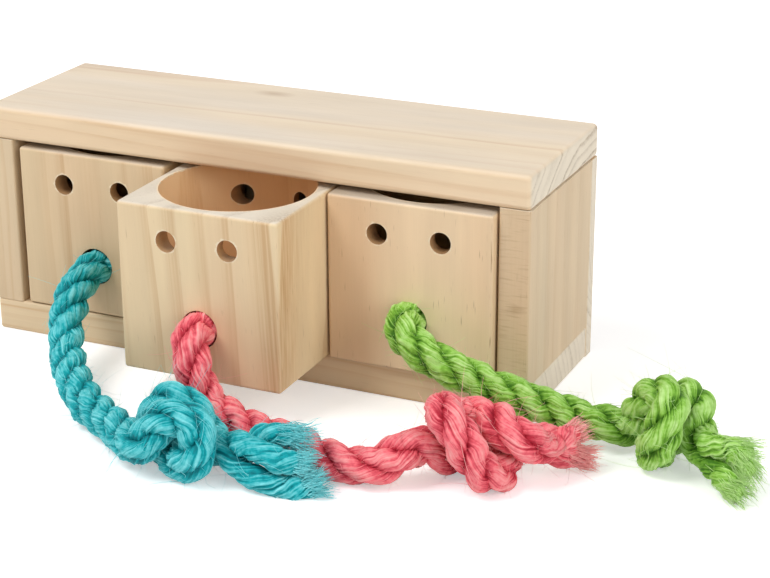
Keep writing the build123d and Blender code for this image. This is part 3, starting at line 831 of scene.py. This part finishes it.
# Hairs: how many there are, their mean length past the shortest in millimetres, and their steepest rise
long_hairs = (260, 3.5, 0.6)
fuzz = (1600, 2.2, 0.3)
wisps = (120, 7.0, 0.4)
stray_thickness = 0.08 * millimetre
wisp_thickness = 0.11 * millimetre
brush_thickness = 0.16 * millimetre
stray_tones = (0.2, 1.0)
wisp_tones = (0.8, 1.0)
brush_tones = (0.5, 1.4)
bare_rings = 8
for side, rope in ropes.items():
    low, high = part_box(f"{side}_drawer")
    foot = np.array([(low.x + high.x) / 2, low.y, 0.0])
    rng = np.random.default_rng(rope["seed"])
    mouth = foot + np.array([0.0, 0.0, rope_level])
    hole = mouth + np.array([0.0, cup_wall, 0.0])
    route = [foot + np.array(point) * millimetre for point in rope["route"]]
    tail = [foot + np.array(point) * millimetre for point in rope["tail"]]
    tail_ends = [foot + np.array(point) * millimetre for point in rope["tail_ends"]]
    knot_length, knot_turn, knot_hand = rope["knot"]
    rope_line = smooth_line(f"{rope['name']}_route", [hole, *route])
    tail_line = smooth_line(f"{rope['name']}_tail_route", tail)
    corner = None
    if "beside" in rope:
        near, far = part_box(rope["beside"])
        corner = np.array([far.x, near.y - travel[rope["beside"]]])
    knot_line = overhand(
        route[-1], route[-1] - route[-2], tail[0], tail[1] - tail[0], knot_length * millimetre,
        radians(knot_turn), knot_hand, floor=0.0, squeeze=1.0, corner=corner)
    stopper_line = overhand(
        hole + stopper_start, out_and_down, hole, straight_out, stopper_length,
        stopper_turn, hand=1, floor=cup_floor, squeeze=stopper_squeeze)
    parts = [spaced(part, int(reaches(part)[-1] / ring_gap) + 1)
             for part in (stopper_line, rope_line, knot_line, tail_line)]
    line = np.concatenate([parts[0]] + [part[1:] for part in parts[1:]])
    stopper_stop, rope_stop, knot_stop, tail_stop = (
        np.cumsum([len(parts[0])] + [len(part) - 1 for part in parts[1:]]) - 1)
    strands = strand_rings(line, rng, knot_stop, tail_ends)
    yarn = sisal(f"{rope['name']}_sisal", rope["dark"], rope["plain"], rope["bright"])
    hair = loose_fibre(f"{rope['name']}_loose_fibre", rope["plain"], rope["bright"])
    stopper = rope_piece(f"{rope['name']}_stopper_knot", strands, 0, stopper_stop + 1, yarn)
    cord = rope_piece(f"{rope['name']}_rope", strands, stopper_stop, rope_stop + 1, yarn)
    knot = rope_piece(f"{rope['name']}_knot", strands, rope_stop, knot_stop + 1, yarn)
    frayed = rope_piece(f"{rope['name']}_tail", strands, knot_stop, tail_stop + 1, yarn)
    strays = stray_paths(strands, stopper_stop + bare_rings, tail_stop, *long_hairs, rng)
    strays += stray_paths(strands, stopper_stop + bare_rings, tail_stop, *fuzz, rng)
    wisp_paths = stray_paths(strands, rope_stop, tail_stop, *wisps, rng)
    brush = brush_paths(strands, rope["brushes"], rng)
    thick = np.repeat(
        [stray_thickness, wisp_thickness, brush_thickness], [len(strays), len(wisp_paths), len(brush)])
    tones = np.concatenate([
        rng.uniform(*stray_tones, len(strays)),
        rng.uniform(*wisp_tones, len(wisp_paths)),
        rng.uniform(*brush_tones, len(brush)),
    ])
    hairs = fibre_piece(
        f"{rope['name']}_loose_fibres", np.array(strays + wisp_paths + brush), thick, tones, hair)
    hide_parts(f"{side}_stopper_knot")
    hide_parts(f"{side}_rope")
    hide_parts(f"{side}_rope_knot")
    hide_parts(f"{side}_rope_tail")
    for piece in (stopper, cord, knot, frayed, hairs):
        if "pull" in rope and piece is not stopper:
            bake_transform(piece)
        else:
            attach(piece, f"{side}_drawer")

# Stage: a white floor under a light tent, with one large soft lamp from the left and one from the right.
# The floor and the sky look white to the camera and in reflections, and the floor keeps the chest's shadow.
floor_size = 8.0
floor_glow = 0.4
tent_light = 0.48
white = (1.0, 1.0, 1.0, 1.0)
bpy.ops.mesh.primitive_plane_add(size=floor_size)
floor = bpy.context.object
floor.name = "floor"
floor_paint, floor_shader = new_material("white_floor")
rays = node(floor_paint, "ShaderNodeLightPath", {})
seen = node(floor_paint, "ShaderNodeMath", {
    0: rays.outputs["Is Camera Ray"], 1: rays.outputs["Is Glossy Ray"]}, operation="MAXIMUM")
glow = node(floor_paint, "ShaderNodeMath", {0: seen.outputs[0], 1: floor_glow}, operation="MULTIPLY")
floor_paint.node_tree.links.new(glow.outputs[0], floor_shader.inputs["Emission Strength"])
floor_shader.inputs["Emission Color"].default_value = white
floor_shader.inputs["Base Color"].default_value = srgb("#F4F4F4")
floor_shader.inputs["Roughness"].default_value = 0.9
floor.data.materials.append(floor_paint)

world = bpy.data.worlds.new("light_tent")
bpy.context.scene.world = world
world.use_nodes = True
sky = world.node_tree.nodes["Background"]
sky_rays = node(world, "ShaderNodeLightPath", {})
sky_seen = node(world, "ShaderNodeMath", {
    0: sky_rays.outputs["Is Camera Ray"], 1: sky_rays.outputs["Is Glossy Ray"]}, operation="MAXIMUM")
sky_level = node(world, "ShaderNodeMapRange", {0: sky_seen.outputs[0], 3: tent_light, 4: 1.0})
world.node_tree.links.new(sky_level.outputs[0], sky.inputs["Strength"])
sky.inputs["Color"].default_value = white


def soft_lamp(name, place, aim, size, power):
    """A square soft box that points at the chest."""
    lamp = bpy.data.lights.new(name, "AREA")
    lamp.size = size
    lamp.energy = power
    stand = bpy.data.objects.new(name, lamp)
    stand.location = place
    stand.rotation_euler = (Vector(aim) - Vector(place)).to_track_quat("-Z", "Y").to_euler()
    bpy.context.scene.collection.objects.link(stand)


chest_middle = (0.02, -0.03, 0.03)
soft_lamp("left_soft_box", (-0.55, -0.75, 1.35), chest_middle, size=0.7, power=14.0)
soft_lamp("right_soft_box", (1.3, -0.5, 0.7), chest_middle, size=0.9, power=9.0)

# Camera: to the right of the chest and above it, with a long lens, framed as in the photograph.
# Its lens, place and turn were fitted to the corners of the chest.
photo_width = 770
focal_pixels = 2004.5
azimuth, elevation, roll = radians(24.37), radians(21.093), radians(-0.229)
camera_place = (0.3141, -0.6092, 0.2836)
camera = bpy.data.cameras.new("camera")
camera.sensor_width = 36.0
camera.lens = focal_pixels / photo_width * camera.sensor_width
viewer = bpy.data.objects.new("camera", camera)
viewer.matrix_world = (
    Matrix.Translation(camera_place) @ Matrix.Rotation(azimuth, 4, "Z")
    @ Matrix.Rotation(pi / 2 - elevation, 4, "X") @ Matrix.Rotation(roll, 4, "Z")
)
bpy.context.scene.collection.objects.link(viewer)
bpy.context.scene.camera = viewer
bpy.context.scene.view_settings.view_transform = "Standard"
